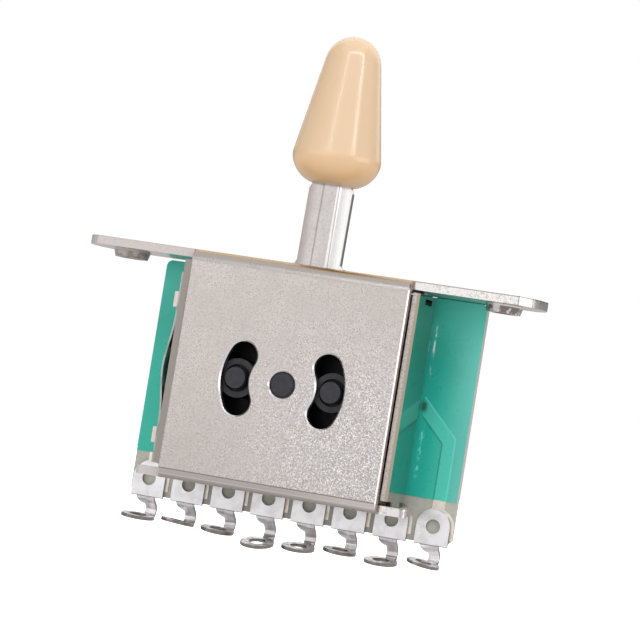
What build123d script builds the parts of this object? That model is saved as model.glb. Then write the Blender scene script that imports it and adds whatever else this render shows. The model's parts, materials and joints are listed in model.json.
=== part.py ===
from build123d import *
import math
import os

# Guitar pickup selector switch, box type with five positions, in millimetres.
# X runs along the mounting ears, the face looks towards -Y, and the lever points to +Z.
# The origin is on top of the mounting plate, midway between its two screw holes.

# Stamped frame: mounting plate, face and bottom flange bent from one sheet
SHEET = 0.9
HOLE_SPACING = 41.3
EAR_WIDTH = 9.3
EAR_LENGTH = 50.1
EAR_END_RADIUS = 6.4
EAR_CORNER_RADIUS = 0.3
FACE_WIDTH = 23.8
FACE_OUT = 5.8
FRAME_HEIGHT = 24.2
TOP_BEND_RADIUS = 1.35
BOTTOM_BEND_RADIUS = 1.0
FACE_EDGE_CHAMFER = 0.14
WING_OUT = 1.45
WING_LENGTH = 1.45
WING_CORNER_RADIUS = 0.7
FLANGE_EDGE = 0.49
FLANGE_BACK = 3.2

# Screw holes of the ears, each drawn down into a short tapered collar
THREAD_MINOR_RADIUS = 1.25
COLLAR_TOP_RADIUS = 2.02
COLLAR_FOOT_RADIUS = 1.76
COLLAR_DROP = 0.87

# Pivot, travel and the two curved guide slots of the face
PIVOT_OFFSET = 0.6
STEP_ANGLE = 14.0
STEPS = 5
PIVOT_HOLE_RADIUS = 1.35
PIVOT_CLEARANCE = 0.05
GUIDE_RADIUS = 5.2
GUIDE_SLOT_WIDTH = 3.0
GUIDE_END_ANGLE = 27.4
GUIDE_CHAMFER = 0.16

# U-shaped bracket inside the frame: two walls and a web that carries the board
WALL_SHEET = 0.78
WALL_SPAN = 25.72
WALL_TOP_GAP = 0.3
WALL_FOOT_GAP = 0.5
WALL_FRONT_GAP = 0.05
WALL_BEND_RADIUS = 2.1
WEB_FOOT_GAP = 0.85
WEB_STRIP = 1.25
WEB_SIDE_STRIP = 3.36
WEB_WINDOW_CORNER = 1.0
FRAME_TAB_LENGTH = 2.6
FRAME_TAB_Y = -0.9
FRAME_TAB_CLEARANCE = 0.05
RELIEF_HEIGHT = 0.6
RELIEF_DROP = 0.35
RELIEF_OVERLAP = 0.15
HOOK_FROM_END = 2.9
HOOK_HEIGHT = 1.65
HOOK_OUT = 0.8
HOOK_FRONT = -4.2
HOOK_THICKNESS = 0.8
BOARD_TAB_WIDTH = 1.7
BOARD_TAB_FROM_WALL = 2.86
BOARD_TAB_INSET = 0.45
BOARD_TAB_OUT = 0.9

# Circuit board with its green mask and tinned tracks
BOARD_FRONT = 4.2
BOARD_THICKNESS = 1.0
BOARD_WIDTH = 36.0
BOARD_TOP_GAPS = (0.2, 0.05)
BOARD_TAIL = 2.4
BOARD_TOP_CORNER = 0.7
BOARD_FOOT_CHAMFER = 0.6
BOARD_SLOT_CLEARANCE = 0.1
BOARD_PIVOT_RADIUS = 1.6
MASK_FOOT_GAP = 4.6
MASK_THICKNESS = 0.05
MASK_CLEARANCE = 0.05
MASK_RIDGE = 0.04
COPPER_THICKNESS = 0.06
TRACK_WIDTH = 1.35
TRACK_TURN_RISE = 5.9
PAD_MARGIN = 0.2
PAD_SHIFT = 0.17
CONTACT_RADII = (4.6, 7.0)
CONTACT_WIDTH = 1.3
CONTACT_PAD_ANGLE = 4.0
RAIL_ANGLE = 66.0

# Eight solder lugs along the foot of the board
LUG_COUNT = 8
LUG_PITCH = 4.56
LUG_SHEET = 0.36
LUG_WIDTH = 3.65
LUG_HOLE_RADIUS = 0.76
LUG_HOLE_RISE = 1.8
LUG_FOOT_DROP = 0.2
LUG_NECK_WIDTH = 1.2
LUG_NECK_SHIFT = 0.3
LUG_NECK_FILLET = 0.8
LUG_BULGE = 1.4
LUG_BULGE_SHARE = 0.55
LUG_HEEL_SHARE = 0.85
LUG_BEND_DROP = 0.15
LUG_BEND_RADIUS = 0.5
LUG_EYE_WIDTH = 3.45
LUG_EYE_LENGTH = 5.0
LUG_EYE_HOLE_WIDTH = 1.7
LUG_EYE_HOLE_LENGTH = 2.7
LUG_EYE_SHIFT = -0.42
# Each eye was bent by hand: its depth under the lug's foot, and its tilt in degrees,
# down at its front and up at its left
LUG_EYE_DROPS = (2.04, 2.14, 2.04, 2.35, 2.23, 2.01, 2.25, 1.83)
LUG_EYE_DIPS = (2.0, -2.4, 3.0, 9.6, 6.3, 2.9, 5.1, 1.7)
LUG_EYE_TURNS = (4.0, 5.2, 5.7, 1.4, 3.1, 5.2, 2.3, 10.2)

# Moulded rotor that carries the lever
ROTOR_FACE_GAP = 0.2
ROTOR_FRONT = -1.6
ROTOR_BACK = 2.6
ROTOR_DISC_RADIUS = 8.0
BOSS_RADIUS = 2.05
BOSS_GROOVE_WIDTH = 0.35
BOSS_GROOVE_DEPTH = 0.5
PEG_RADIUS = 1.1
PEG_SETBACK = 0.25
STUB_SETBACK = 0.08
STUB_CHAMFER = 0.15
HUB_RADIUS = 2.5
REAR_STUB_LENGTH = 0.7
RIM_WALL_GAP = 0.88
RIM_HALF_ANGLE = 34.0
NOTCH_RADIUS = 0.85
NOTCH_DEPTH = 0.5
ARM_WIDTH = 8.4
ARM_REACH = 9.6
ARM_CORNER_RADIUS = 0.8
STAKE_RADIUS = 0.4
STAKE_HEAD = 0.25

# Lever blade: steel strip with a pressed rib, and the rivet that holds it
LEVER_LEAN = 0.7
BLADE_SHEET = 0.9
BLADE_WIDTH = 4.78
BLADE_Y = 0.2
BLADE_FOOT_RISE = 3.7
BLADE_TOP = 16.5
RIB_TOP_WIDTH = 1.4
RIB_STEP = 0.34
RIB_HEIGHT = 0.5
RIB_SHIFT = 0.13
SHOULDER_OUT = 0.445
SHOULDER_Z = 0.35
SHOULDER_FILLET_SHARE = 0.9
NECK_Z = 8.35
TANG_Z = 9.45
TANG_STEP = 0.48
BLADE_POCKET_CLEARANCE = 0.02
LEVER_SLOT_SIDE_GAP = 0.3
LEVER_SLOT_END_GAP = 0.3
RIVET_RADIUS = 0.6
RIVET_HEAD_RADIUS = 1.15
RIVET_HEAD_HEIGHT = 0.35
RIVET_RISE = 7.1

# Knob pressed on the blade
KNOB_BOTTOM = 8.95
KNOB_TOP = 24.85
KNOB_FOOT_RADIUS = 2.25
KNOB_RIM_RADIUS = 4.72
KNOB_RIM_Z = 11.85
KNOB_DOME_RADIUS = 2.98
# Where the curve under the rim passes, as shares of its width and height
KNOB_CURVE = (0.73, 0.4)
KNOB_RIM_FILLET = 1.6

# Detent spring on the outside of the left wall
SPRING_SHEET = 0.2
SPRING_GAP = 0.02
SPRING_FRONT = -4.7
SPRING_BACK = 1.6
SPRING_END_GAP = 0.5
SPRING_BOW = 0.57
SPRING_BOW_FROM_HOOK = 1.45
SPRING_HOLE_CLEARANCE = 0.12
NOSE_WIDTH = 2.2
NOSE_RADIUS = 0.6
NOSE_BASE = 2.2
NOSE_GAP = 0.06
NOSE_Y = -1.3
NOSE_SIDE_GAP = 0.2
WINDOW_CLEARANCE = 0.4

# Sliding contacts on the back of the rotor
WIPER_SHEET = 0.2
WIPER_FINGER_WIDTH = 0.9
WIPER_BASE_DROP = 2.6
WIPER_BASE_HEIGHT = 1.2
WIPER_TIP_GAP = 0.05
WIPER_TIP_REACH = 0.8
WIPER_BEND_RADIUS = 0.4

# Places that follow from the sizes above
FACE_BACK_Y = -FACE_OUT + SHEET
FLANGE_TOP_Z = -FRAME_HEIGHT + SHEET
FLANGE_SPAN = WALL_SPAN + 2 * FLANGE_EDGE
WING_SPAN = FLANGE_SPAN + 2 * WING_OUT
PIVOT_DROP = FRAME_HEIGHT / 2 + PIVOT_OFFSET
WALL_OUTER = WALL_SPAN / 2
WALL_INNER = WALL_OUTER - WALL_SHEET
WALL_MID = WALL_OUTER - WALL_SHEET / 2
WALL_FRONT_Y = FACE_BACK_Y + WALL_FRONT_GAP
BOARD_TAB_X = WALL_OUTER - BOARD_TAB_FROM_WALL
RIM_RADIUS = WALL_INNER - RIM_WALL_GAP
WALL_TOP = -SHEET - WALL_TOP_GAP
WALL_FOOT = FLANGE_TOP_Z + WALL_FOOT_GAP
WEB_HALF_HEIGHT = -PIVOT_DROP - WALL_FOOT - WEB_FOOT_GAP
BOARD_TAB_OFFSET = WEB_HALF_HEIGHT - BOARD_TAB_INSET
SPRING_HALF_LENGTH = -PIVOT_DROP - FLANGE_TOP_Z - SPRING_END_GAP
HOOK_OFFSET = SPRING_HALF_LENGTH - HOOK_FROM_END
SPRING_BOW_HALF = HOOK_OFFSET - SPRING_BOW_FROM_HOOK
BOARD_BACK = BOARD_FRONT + BOARD_THICKNESS
BOARD_TOP = -SHEET - BOARD_TOP_GAPS[1]
BOARD_BOTTOM = -FRAME_HEIGHT - BOARD_TAIL
MASK_BOTTOM = BOARD_BOTTOM + MASK_FOOT_GAP
TRACK_TURN_Z = MASK_BOTTOM + TRACK_TURN_RISE
LUG_HOLE_Z = BOARD_BOTTOM + LUG_HOLE_RISE
LUG_FOOT_Z = BOARD_BOTTOM - LUG_FOOT_DROP
COPPER_FRONT = BOARD_FRONT - COPPER_THICKNESS
BOSS_FRONT = FACE_BACK_Y + ROTOR_FACE_GAP
TRAVEL = STEP_ANGLE * (STEPS - 1) / 2
NOTCH_CENTRE_RADIUS = RIM_RADIUS - NOTCH_DEPTH + NOTCH_RADIUS
NOSE_TIP_X = -RIM_RADIUS + NOTCH_DEPTH - NOSE_GAP
BLADE_FRONT = BLADE_Y - BLADE_SHEET / 2
BLADE_BACK = BLADE_Y + BLADE_SHEET / 2
BLADE_FOOT = -PIVOT_DROP + BLADE_FOOT_RISE
SHOULDER_WIDTH = BLADE_WIDTH + 2 * SHOULDER_OUT
SHOULDER_FILLET = SHOULDER_OUT * SHOULDER_FILLET_SHARE
TANG_WIDTH = BLADE_WIDTH - 2 * TANG_STEP
RIVET_Z = -PIVOT_DROP + RIVET_RISE
LEVER_MIDDLE_Y = (BLADE_FRONT - RIB_HEIGHT + BLADE_BACK) / 2
WIPER_X = (CONTACT_RADII[0] + CONTACT_RADII[1]) / 2
WIPER_FINGER_OFFSET = (CONTACT_RADII[1] - CONTACT_RADII[0]) / 2
BEYOND = 1.0
SIDES = (-1, 1)


def facing(y, z=0.0, x=0.0):
    # A sketch plane that looks out of the face: sketch x is X and sketch y is Z
    return Plane(origin=(x, y, z), x_dir=(1, 0, 0), z_dir=(0, -1, 0))


def slab(sketch, y_front, y_back, z=0.0, x=0.0):
    # A flat piece parallel to the face, from y_front to y_back
    return extrude(facing(y_back, z, x) * sketch, amount=y_back - y_front)


def span_box(x0, x1, y0, y1, z0, z1):
    middle = ((x0 + x1) / 2, (y0 + y1) / 2, (z0 + z1) / 2)
    return Pos(*middle) * Box(abs(x1 - x0), y1 - y0, z1 - z0)


def side_plane(x):
    # A sketch plane seen along X: sketch x is Y and sketch y is Z
    return Plane(origin=(x, 0, 0), x_dir=(0, 1, 0), z_dir=(1, 0, 0))


def polar(radius, degrees):
    angle = math.radians(degrees)
    return (radius * math.cos(angle), radius * math.sin(angle))


def leaned(shape):
    # The lever sits slightly off upright in the rotor, turned about the pivot
    return Pos(0, 0, -PIVOT_DROP) * Rot(0, LEVER_LEAN, 0) * Pos(0, 0, PIVOT_DROP) * shape


def round_corners(sketch, corners):
    # Fillet the vertex nearest to each (x, y, radius)
    for x, y, radius in corners:
        corner = sketch.vertices().sort_by_distance((x, y, 0))[0]
        sketch = fillet(corner, radius)
    return sketch


def ear_outline():
    # Both ears as one strip whose ends are arcs over the full width
    tip = EAR_LENGTH / 2
    half = EAR_WIDTH / 2
    corner = tip - EAR_END_RADIUS + math.sqrt(EAR_END_RADIUS**2 - half**2)
    edges = [
        Line((-corner, half), (corner, half)),
        ThreePointArc((corner, half), (tip, 0), (corner, -half)),
        Line((corner, -half), (-corner, -half)),
        ThreePointArc((-corner, -half), (-tip, 0), (-corner, half)),
    ]
    outline = make_face(edges)
    return fillet(outline.vertices(), EAR_CORNER_RADIUS)


def frame_section():
    # Section of the bent sheet as (Y, Z)
    back = EAR_WIDTH / 2
    points = [
        (back, 0),
        (-FACE_OUT, 0),
        (-FACE_OUT, -FRAME_HEIGHT),
        (FLANGE_BACK, -FRAME_HEIGHT),
        (FLANGE_BACK, FLANGE_TOP_Z),
        (FACE_BACK_Y, FLANGE_TOP_Z),
        (FACE_BACK_Y, -SHEET),
        (back, -SHEET),
    ]
    bends = [
        (-FACE_OUT, 0, TOP_BEND_RADIUS),
        (-FACE_OUT, -FRAME_HEIGHT, BOTTOM_BEND_RADIUS),
        (FACE_BACK_Y, -SHEET, TOP_BEND_RADIUS - SHEET),
        (FACE_BACK_Y, FLANGE_TOP_Z, BOTTOM_BEND_RADIUS - SHEET),
    ]
    return round_corners(make_face(Polyline(*points, close=True)), bends)


def flange_outline():
    # The flange behind the bottom bend, with a short wing at each side
    front = -EAR_WIDTH / 2
    wing = RectangleRounded(WING_SPAN, WING_LENGTH, WING_CORNER_RADIUS)
    tail = Rectangle(FLANGE_SPAN, FLANGE_BACK - front)
    return Pos(0, front + WING_LENGTH / 2) * wing + Pos(0, (front + FLANGE_BACK) / 2) * tail


def guide_slot(side, grow=0.0):
    start = -GUIDE_END_ANGLE if side > 0 else 180 - GUIDE_END_ANGLE
    arc = CenterArc((0, 0), GUIDE_RADIUS, start, 2 * GUIDE_END_ANGLE)
    return SlotArc(arc, GUIDE_SLOT_WIDTH + 2 * grow)


def lever_slot():
    # Long enough for the blade's shoulders at both ends of the travel
    turn = math.radians(TRAVEL + LEVER_LEAN)
    reach = PIVOT_DROP * math.tan(turn) + SHOULDER_WIDTH / 2 / math.cos(turn) + LEVER_SLOT_END_GAP
    width = BLADE_SHEET + RIB_HEIGHT + 2 * LEVER_SLOT_SIDE_GAP
    slot = SlotOverall(2 * reach, width)
    return Pos(0, LEVER_MIDDLE_Y, 0) * extrude(slot, amount=SHEET + BEYOND, both=True)


def make_frame():
    body = extrude(side_plane(-FACE_WIDTH / 2) * frame_section(), amount=FACE_WIDTH)
    face_edges = body.edges().filter_by(Axis.Z).group_by(Axis.Y)[0]
    body = chamfer(face_edges, FACE_EDGE_CHAMFER)
    body += Pos(0, 0, -SHEET) * extrude(ear_outline(), amount=SHEET)
    body += Pos(0, 0, -FRAME_HEIGHT) * extrude(flange_outline(), amount=SHEET)
    collar_z = -SHEET - COLLAR_DROP / 2
    collar = Cone(COLLAR_FOOT_RADIUS, COLLAR_TOP_RADIUS, COLLAR_DROP)
    bore = Cylinder(THREAD_MINOR_RADIUS, 2 * (SHEET + COLLAR_DROP + BEYOND))
    tab_slot = Box(
        WALL_SHEET + 2 * FRAME_TAB_CLEARANCE,
        FRAME_TAB_LENGTH + 2 * FRAME_TAB_CLEARANCE,
        2 * SHEET,
    )
    for side in SIDES:
        x = side * HOLE_SPACING / 2
        body += Pos(x, 0, collar_z) * collar
        body -= Pos(x, 0, 0) * bore
        body -= slab(guide_slot(side), -FACE_OUT - BEYOND, FACE_BACK_Y + SHEET / 2, -PIVOT_DROP)
        rim = loft(
            [
                facing(-FACE_OUT + GUIDE_CHAMFER, -PIVOT_DROP) * guide_slot(side),
                facing(-FACE_OUT, -PIVOT_DROP) * guide_slot(side, GUIDE_CHAMFER),
            ]
        )
        body -= rim
        for z in (-SHEET / 2, -FRAME_HEIGHT + SHEET / 2):
            body -= Pos(side * WALL_MID, FRAME_TAB_Y, z) * tab_slot
    body -= slab(Circle(PIVOT_HOLE_RADIUS), -FACE_OUT - BEYOND, FACE_BACK_Y + SHEET / 2, -PIVOT_DROP)
    body -= loft(
        [
            facing(-FACE_OUT + GUIDE_CHAMFER, -PIVOT_DROP) * Circle(PIVOT_HOLE_RADIUS),
            facing(-FACE_OUT, -PIVOT_DROP) * Circle(PIVOT_HOLE_RADIUS + GUIDE_CHAMFER),
        ]
    )
    return body - lever_slot()


def bracket_section():
    # The U seen from above: two walls and the web that lies on the board
    points = [
        (-WALL_OUTER, WALL_FRONT_Y),
        (-WALL_OUTER, BOARD_FRONT),
        (WALL_OUTER, BOARD_FRONT),
        (WALL_OUTER, WALL_FRONT_Y),
        (WALL_INNER, WALL_FRONT_Y),
        (WALL_INNER, BOARD_FRONT - WALL_SHEET),
        (-WALL_INNER, BOARD_FRONT - WALL_SHEET),
        (-WALL_INNER, WALL_FRONT_Y),
    ]
    bends = []
    for side in SIDES:
        bends.append((side * WALL_OUTER, BOARD_FRONT, WALL_BEND_RADIUS))
        bends.append((side * WALL_INNER, BOARD_FRONT - WALL_SHEET, WALL_BEND_RADIUS - WALL_SHEET))
    return round_corners(make_face(Polyline(*points, close=True)), bends)


def make_inner_bracket():
    body = Pos(0, 0, WALL_FOOT) * extrude(bracket_section(), amount=WALL_TOP - WALL_FOOT)
    web_y = (BOARD_FRONT - WALL_BEND_RADIUS, BOARD_FRONT + BEYOND)
    web_x = (-WALL_OUTER - BEYOND, WALL_OUTER + BEYOND)
    web_top = -PIVOT_DROP + WEB_HALF_HEIGHT
    web_foot = -PIVOT_DROP - WEB_HALF_HEIGHT
    window_width = WALL_SPAN - 2 * WEB_SIDE_STRIP
    window_height = 2 * (WEB_HALF_HEIGHT - WEB_STRIP)
    body -= span_box(*web_x, *web_y, web_top, WALL_TOP + BEYOND)
    body -= span_box(*web_x, *web_y, WALL_FOOT - BEYOND, web_foot)
    window = RectangleRounded(window_width, window_height, WEB_WINDOW_CORNER)
    body -= slab(window, *web_y, -PIVOT_DROP)
    tab_y = (FRAME_TAB_Y - FRAME_TAB_LENGTH / 2, FRAME_TAB_Y + FRAME_TAB_LENGTH / 2)
    relief_y = (tab_y[0] - RELIEF_OVERLAP, tab_y[1] + RELIEF_OVERLAP)
    relief_top = WALL_TOP - RELIEF_DROP
    for side in SIDES:
        wall_x = (side * WALL_MID - WALL_SHEET / 2, side * WALL_MID + WALL_SHEET / 2)
        body += span_box(*wall_x, *tab_y, WALL_TOP, 0)
        body += span_box(*wall_x, *tab_y, -FRAME_HEIGHT, WALL_FOOT)
        hook_z = -PIVOT_DROP + side * HOOK_OFFSET
        hook = Box(HOOK_OUT, HOOK_THICKNESS, HOOK_HEIGHT)
        body += Pos(-WALL_OUTER - HOOK_OUT / 2, HOOK_FRONT + HOOK_THICKNESS / 2, hook_z) * hook
        tab = Rectangle(BOARD_TAB_WIDTH, WALL_SHEET)
        for x in (-BOARD_TAB_X, BOARD_TAB_X):
            tab_z = -PIVOT_DROP + side * BOARD_TAB_OFFSET
            body += slab(tab, BOARD_FRONT, BOARD_BACK + BOARD_TAB_OUT, tab_z, x)
    right_x = (WALL_INNER - BEYOND, WALL_OUTER + BEYOND)
    body -= span_box(*right_x, *relief_y, relief_top - RELIEF_HEIGHT, relief_top)
    half = NOSE_WIDTH / 2 + WINDOW_CLEARANCE
    tall = NOSE_BASE + WINDOW_CLEARANCE
    left_x = (-WALL_OUTER - BEYOND, -WALL_INNER + BEYOND)
    body -= span_box(*left_x, NOSE_Y - half, NOSE_Y + half, -PIVOT_DROP - tall, -PIVOT_DROP + tall)
    return body


def board_outline(foot=BOARD_BOTTOM):
    # The top edge was cut slightly off square, lower at the left
    half = BOARD_WIDTH / 2
    left_top = -SHEET - BOARD_TOP_GAPS[0]
    points = [(-half, left_top), (half, BOARD_TOP), (half, foot), (-half, foot)]
    outline = make_face(Polyline(*points, close=True))
    corners = [(-half, left_top, BOARD_TOP_CORNER), (half, BOARD_TOP, BOARD_TOP_CORNER)]
    return round_corners(outline, corners)


def board_holes():
    # Pivot hole and the four slots for the bracket's tabs
    slot = Rectangle(BOARD_TAB_WIDTH + 2 * BOARD_SLOT_CLEARANCE, WALL_SHEET + 2 * BOARD_SLOT_CLEARANCE)
    holes = Pos(0, -PIVOT_DROP) * Circle(BOARD_PIVOT_RADIUS)
    for x in (-BOARD_TAB_X, BOARD_TAB_X):
        for z in (-BOARD_TAB_OFFSET, BOARD_TAB_OFFSET):
            holes += Pos(x, -PIVOT_DROP + z) * slot
    return holes


def make_board():
    outline = board_outline()
    outline = chamfer(outline.vertices().group_by(Axis.Y)[0], BOARD_FOOT_CHAMFER)
    return slab(outline - board_holes(), BOARD_FRONT, BOARD_BACK)


def lug_x(index):
    return (index - (LUG_COUNT - 1) / 2) * LUG_PITCH


def covered_track():
    # The last lug's track under the mask: straight up, then slanting in to the wall
    x = lug_x(LUG_COUNT - 1) + PAD_SHIFT
    turn = x - WALL_OUTER
    half = TRACK_WIDTH / 2
    points = [
        (x + half, MASK_BOTTOM),
        (x + half, TRACK_TURN_Z + half),
        (WALL_OUTER, TRACK_TURN_Z + half + turn + half),
        (WALL_OUTER, TRACK_TURN_Z + turn - half),
        (x - half, TRACK_TURN_Z),
        (x - half, MASK_BOTTOM),
    ]
    return make_face(Polyline(*points, close=True))


def make_solder_mask():
    # Front strips beside the bracket with a ridge over the track, and one sheet on the back
    bend = math.sqrt(WALL_BEND_RADIUS**2 - (WALL_BEND_RADIUS - MASK_THICKNESS - MASK_RIDGE) ** 2)
    inner = WALL_OUTER - WALL_BEND_RADIUS + bend + MASK_CLEARANCE
    cover = board_outline(MASK_BOTTOM)
    middle = Pos(0, (BOARD_TOP + MASK_BOTTOM) / 2) * Rectangle(2 * inner, BOARD_TOP - MASK_BOTTOM)
    body = slab(cover - middle, BOARD_FRONT - MASK_THICKNESS, BOARD_FRONT)
    body += slab(covered_track(), BOARD_FRONT - MASK_THICKNESS - MASK_RIDGE, BOARD_FRONT)
    body += slab(cover - board_holes(), BOARD_BACK, BOARD_BACK + MASK_THICKNESS)
    return body


def lug_disc():
    # Round top and square shoulders of a lug, about its hole
    half = LUG_WIDTH / 2
    drop = LUG_HOLE_Z - LUG_FOOT_Z
    skirt = Pos(0, -drop / 2) * Rectangle(LUG_WIDTH, drop)
    return Pos(0, LUG_HOLE_Z) * (Circle(half) + skirt)


def pad_outline():
    # Tinned pad under a lug, a little larger than the lug, and its bare track above
    radius = LUG_WIDTH / 2 + PAD_MARGIN
    drop = LUG_HOLE_Z - BOARD_BOTTOM - BOARD_FOOT_CHAMFER
    skirt = Pos(0, -drop / 2) * Rectangle(2 * radius, drop)
    rise = MASK_BOTTOM - LUG_HOLE_Z
    track = Pos(0, rise / 2) * Rectangle(TRACK_WIDTH, rise)
    return Pos(PAD_SHIFT, LUG_HOLE_Z) * (Circle(radius) + skirt + track)


def contact_arc(radius, middle, sweep):
    return SlotArc(CenterArc((0, 0), radius, middle - sweep / 2, sweep), CONTACT_WIDTH)


def make_board_tracks():
    # Pads at the foot, and on each side of the pivot a rail and five switching pads
    hole = Pos(0, LUG_HOLE_Z) * Circle(LUG_HOLE_RADIUS)
    pieces = []
    for index in range(LUG_COUNT):
        pieces.append(slab(pad_outline() - hole, COPPER_FRONT, BOARD_FRONT, 0, lug_x(index)))
    for base in (0, 180):
        rail = contact_arc(CONTACT_RADII[0], base, RAIL_ANGLE)
        pieces.append(slab(rail, COPPER_FRONT, BOARD_FRONT, -PIVOT_DROP))
        for step in range(STEPS):
            middle = base + (step - (STEPS - 1) / 2) * STEP_ANGLE
            pad = contact_arc(CONTACT_RADII[1], middle, CONTACT_PAD_ANGLE)
            pieces.append(slab(pad, COPPER_FRONT, BOARD_FRONT, -PIVOT_DROP))
    return Compound(children=pieces)


def lug_front(eye_drop):
    # Front outline of the bent sheet: the disc, and the neck with one large fillet
    left = LUG_NECK_SHIFT - LUG_NECK_WIDTH / 2
    right = LUG_NECK_SHIFT + LUG_NECK_WIDTH / 2
    foot = LUG_FOOT_Z - eye_drop - BEYOND
    flare = left - LUG_NECK_FILLET
    edges = [
        Line((flare, LUG_FOOT_Z + BEYOND), (right, LUG_FOOT_Z + BEYOND)),
        Line((right, LUG_FOOT_Z + BEYOND), (right, foot)),
        Line((right, foot), (left, foot)),
        Line((left, foot), (left, LUG_FOOT_Z - LUG_NECK_FILLET)),
        RadiusArc((left, LUG_FOOT_Z - LUG_NECK_FILLET), (flare, LUG_FOOT_Z), LUG_NECK_FILLET),
        Line((flare, LUG_FOOT_Z), (flare, LUG_FOOT_Z + BEYOND)),
    ]
    hole = Pos(0, LUG_HOLE_Z) * Circle(LUG_HOLE_RADIUS)
    return lug_disc() + make_face(edges) - hole


def make_lug(index):
    # A flat sheet bent back, down and forward, ending in an oval eye
    dip = math.radians(LUG_EYE_DIPS[index])
    y = COPPER_FRONT - LUG_SHEET / 2
    drop = LUG_EYE_DROPS[index]
    eye_z = LUG_FOOT_Z - drop
    heel = (y + LUG_BULGE * LUG_HEEL_SHARE, eye_z)
    run = LUG_EYE_LENGTH / 4
    points = [
        (y, LUG_HOLE_Z + LUG_WIDTH),
        (y, LUG_FOOT_Z - LUG_BEND_DROP),
        (y + LUG_BULGE, LUG_FOOT_Z - drop * LUG_BULGE_SHARE),
        heel,
        (heel[0] - run * math.cos(dip), eye_z - run * math.sin(dip)),
    ]
    profile = trace(FilletPolyline(*points, radius=LUG_BEND_RADIUS), line_width=LUG_SHEET)
    sheet = extrude(side_plane(0) * profile, amount=LUG_WIDTH, both=True)
    front = slab(lug_front(drop), y - LUG_EYE_LENGTH, y + LUG_EYE_LENGTH)
    eye = Ellipse(LUG_EYE_WIDTH / 2, LUG_EYE_LENGTH / 2)
    eye -= Ellipse(LUG_EYE_HOLE_WIDTH / 2, LUG_EYE_HOLE_LENGTH / 2)
    eye = extrude(eye, amount=LUG_SHEET / 2, both=True)
    eye = Pos(0, -LUG_EYE_LENGTH / 2, 0) * Rot(0, LUG_EYE_TURNS[index], 0) * eye
    start = Pos(LUG_NECK_SHIFT + LUG_EYE_SHIFT, heel[0] - LUG_SHEET / 2, eye_z)
    body = (sheet & front) + start * Rot(LUG_EYE_DIPS[index], 0, 0) * eye
    return Pos(lug_x(index), 0, 0) * body


def rim_outline():
    # Sector towards -X with one notch for each lever position
    start = 180 - RIM_HALF_ANGLE
    arc = CenterArc((0, 0), RIM_RADIUS, start, 2 * RIM_HALF_ANGLE)
    sector = make_face([arc, Line(arc @ 1, (0, 0)), Line((0, 0), arc @ 0)])
    for step in range(STEPS):
        angle = 180 + (step - (STEPS - 1) / 2) * STEP_ANGLE
        sector -= Pos(*polar(NOTCH_CENTRE_RADIUS, angle)) * Circle(NOTCH_RADIUS)
    return sector


def stake_places():
    # Where the posts that hold the two contacts stand, from the pivot
    places = []
    for side in SIDES:
        for x in (WIPER_X - WIPER_FINGER_OFFSET, WIPER_X + WIPER_FINGER_OFFSET):
            places.append((side * x, -WIPER_BASE_DROP))
    return places


def make_rotor():
    arm = Pos(0, ARM_REACH / 2) * Rectangle(ARM_WIDTH, ARM_REACH)
    arm = fillet(arm.vertices().group_by(Axis.Y)[-1], ARM_CORNER_RADIUS)
    body = slab(Circle(ROTOR_DISC_RADIUS) + arm + rim_outline(), ROTOR_FRONT, ROTOR_BACK)
    groove = Circle(PEG_RADIUS + BOSS_GROOVE_WIDTH) - Circle(PEG_RADIUS)
    for side in SIDES:
        at = Pos(side * GUIDE_RADIUS, 0)
        body += slab(at * Circle(BOSS_RADIUS), BOSS_FRONT, ROTOR_FRONT)
        body -= slab(at * groove, BOSS_FRONT - BEYOND, BOSS_FRONT + BOSS_GROOVE_DEPTH)
        body += slab(at * Circle(PEG_RADIUS), -FACE_OUT + PEG_SETBACK, BOSS_FRONT)
    body += slab(Circle(HUB_RADIUS), BOSS_FRONT, ROTOR_FRONT)
    stub = slab(Circle(PIVOT_HOLE_RADIUS - PIVOT_CLEARANCE), -FACE_OUT + STUB_SETBACK, ROTOR_FRONT)
    body += chamfer(stub.edges().group_by(Axis.Y)[0], STUB_CHAMFER)
    body += slab(Circle(BOARD_PIVOT_RADIUS - PIVOT_CLEARANCE), ROTOR_BACK, BOARD_FRONT + REAR_STUB_LENGTH)
    for place in stake_places():
        body += slab(Pos(*place) * Circle(STAKE_RADIUS), ROTOR_BACK, ROTOR_BACK + WIPER_SHEET + STAKE_HEAD)
    body = Pos(0, 0, -PIVOT_DROP) * body
    body -= leaned(blade_solid(BLADE_POCKET_CLEARANCE))
    return body - leaned(slab(Circle(RIVET_RADIUS), ROTOR_FRONT - BEYOND, ROTOR_BACK + BEYOND, RIVET_Z))


def blade_section(grow):
    # Strip with a rib pressed forward, as (X, Y), and a matching groove at the back
    half = SHOULDER_WIDTH / 2 + grow
    top = RIB_TOP_WIDTH / 2 + grow
    foot = top + RIB_STEP
    front = BLADE_FRONT - grow
    back = BLADE_BACK + grow
    groove = RIB_TOP_WIDTH / 2 - RIB_STEP / 2 - grow
    points = [
        (-half, front),
        (RIB_SHIFT - foot, front),
        (RIB_SHIFT - top, front - RIB_HEIGHT),
        (RIB_SHIFT + top, front - RIB_HEIGHT),
        (RIB_SHIFT + foot, front),
        (half, front),
        (half, back),
        (RIB_SHIFT + groove + RIB_STEP, back),
        (RIB_SHIFT + groove, back - RIB_HEIGHT),
        (RIB_SHIFT - groove, back - RIB_HEIGHT),
        (RIB_SHIFT - groove - RIB_STEP, back),
        (-half, back),
    ]
    return make_face(Polyline(*points, close=True))


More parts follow.
